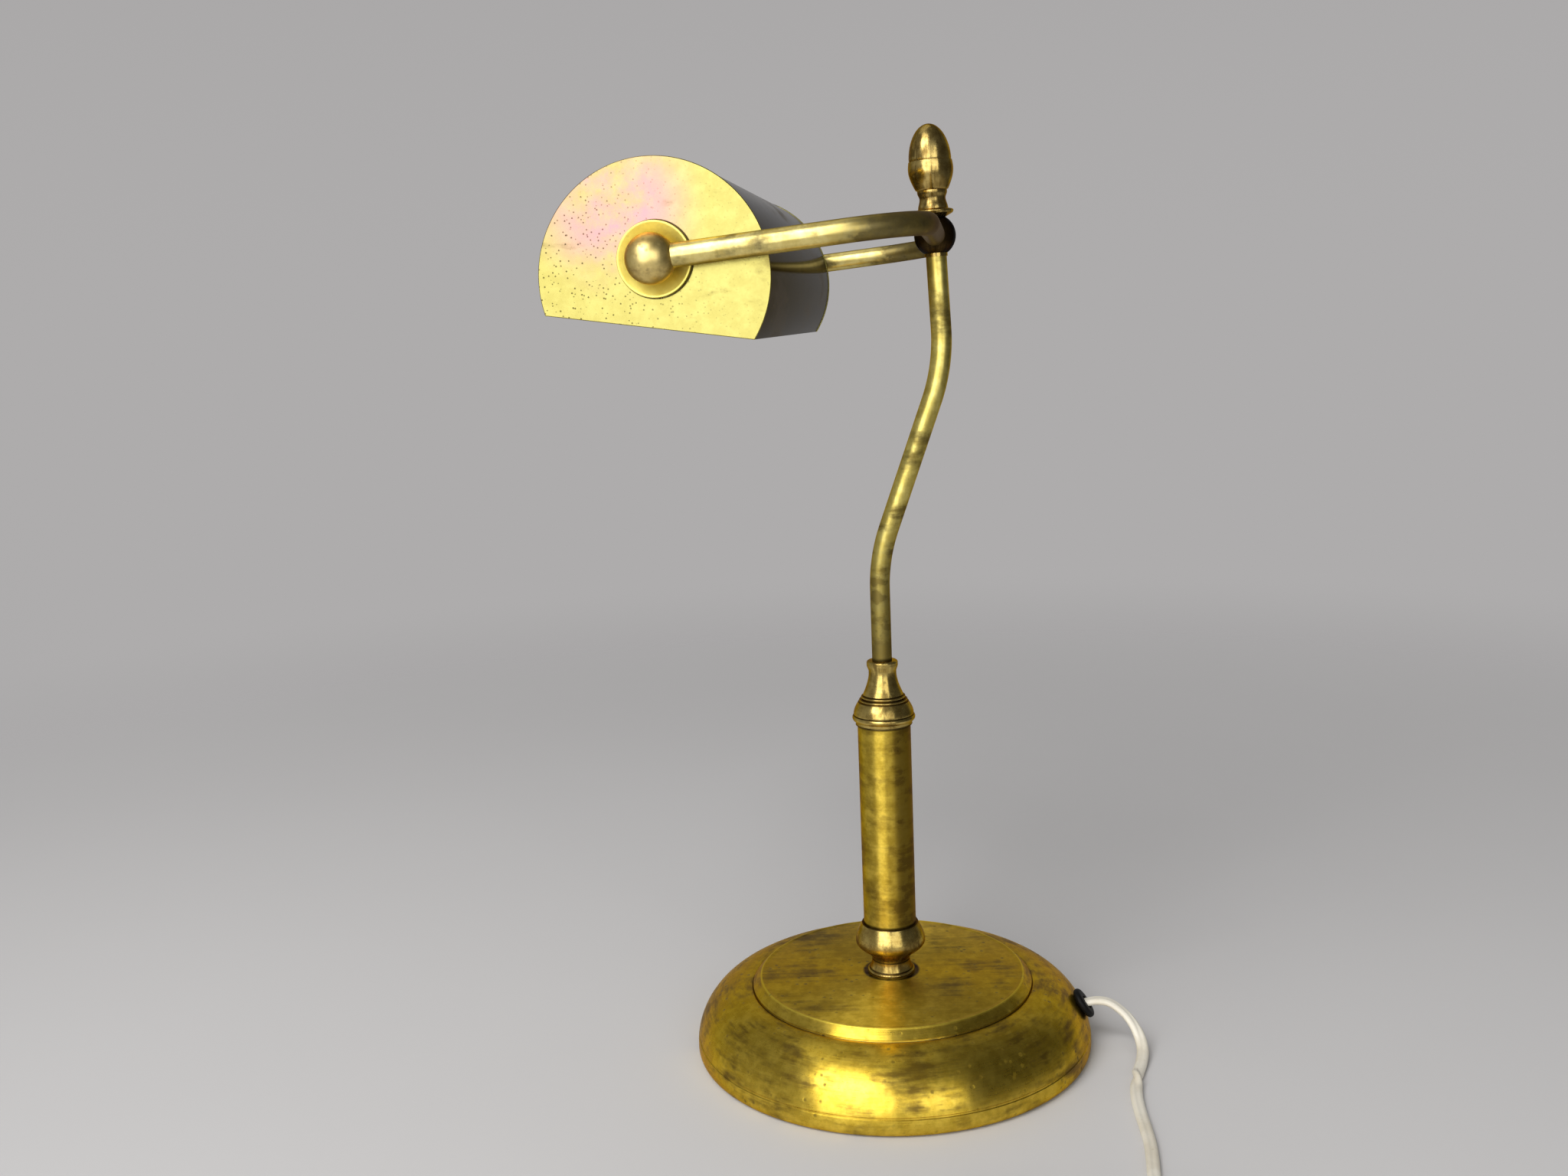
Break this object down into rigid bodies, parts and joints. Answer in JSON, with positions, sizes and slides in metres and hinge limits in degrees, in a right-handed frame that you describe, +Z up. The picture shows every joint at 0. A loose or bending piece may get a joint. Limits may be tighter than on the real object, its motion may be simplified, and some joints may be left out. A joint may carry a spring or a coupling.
{
  "type": "desk lamp",
  "caption": "Brass bankers lamp: domed weighted base, short column and swept-back stem carrying a fork with a tilting trough shade, with a finial and a flat cord with a rocker switch and plug.",
  "frame": {"origin": "centre of the base's underside, on the table", "axes": "+Z up along the column, X along the shade, -Y to the side where the shade hangs, +Y to the cord's exit"},
  "size_m": [0.4112, 0.2642, 0.4646],
  "materials": {
    "spun_brass": "aged, brushed",
    "worn_brass": "brown patina",
    "pale_brass": "pale, tarnished",
    "iron": "raw",
    "steel": "plain",
    "felt": "felt",
    "board": "pressed board",
    "rubber": "matte",
    "ivory": "ivory, satin",
    "phenolic": "moulded",
    "bulb_glass": "frosted"
  },
  "bodies": {
    "stand": {"base_shell": "spun_brass", "base_weight": "iron", "base_cover": "board", "felt_pad": "felt", "tie_rod": "steel", "rod_washer": "steel", "rod_nut": "steel", "column_foot": "spun_brass", "column_tube": "spun_brass", "column_collar": "spun_brass", "stem_tube": "spun_brass", "stem_nipple": "worn_brass", "cord_grommet": "rubber", "inner_lead": "ivory", "cord_clamp": "phenolic", "clamp_screws": "steel", "terminal_block": "ivory", "cord_run": "ivory", "switch_base": "ivory", "switch_cover": "ivory", "switch_contacts": "spun_brass", "switch_screws": "steel", "cord_link": "ivory", "cord_coil": "ivory", "coil_tie": "phenolic", "plug_body": "ivory", "plug_pins": "steel"},
    "head": {"swivel_ball": "worn_brass", "near_arm": "worn_brass", "far_arm": "worn_brass", "near_pivot_ball": "worn_brass", "far_pivot_ball": "worn_brass", "near_stud": "steel", "far_stud": "steel", "near_washer": "steel", "far_washer": "steel", "near_nut": "steel", "far_nut": "steel"},
    "finial": {"finial_cup": "worn_brass", "finial_acorn": "worn_brass"},
    "shade": {"shade_shell": "spun_brass", "near_end_plate": "pale_brass", "far_end_plate": "pale_brass", "near_cup": "pale_brass", "far_cup": "pale_brass", "holder_bracket": "steel", "holder_nut": "steel", "holder_cap": "phenolic", "holder_barrel": "phenolic", "bulb_cap": "steel", "bulb_glass": "bulb_glass"},
    "rocker": {"switch_rocker": "ivory"}
  },
  "joints": [
    {"name": "head_swivel", "type": "hinge", "parent": "stand", "child": "head", "pos_m": [0, 0.0315, 0.4125], "axis": [0, -0.0436, 0.999], "range_deg": [-160, 160]},
    {"name": "shade_tilt", "type": "hinge", "parent": "head", "child": "shade", "pos_m": [0, -0.07974, 0.40238], "axis": [1, 0, 0], "range_deg": [-80, 80]},
    {"name": "finial_turn", "type": "hinge", "parent": "stand", "child": "finial", "pos_m": [0, 0.0315, 0.4125], "axis": [0, -0.0436, 0.999], "range_deg": [0, 180]},
    {"name": "switch_rocker", "type": "hinge", "parent": "stand", "child": "rocker", "pos_m": [0.192, 0.122, 0.0115], "axis": [0, 1, 0], "range_deg": [0, 16]}
  ]
}
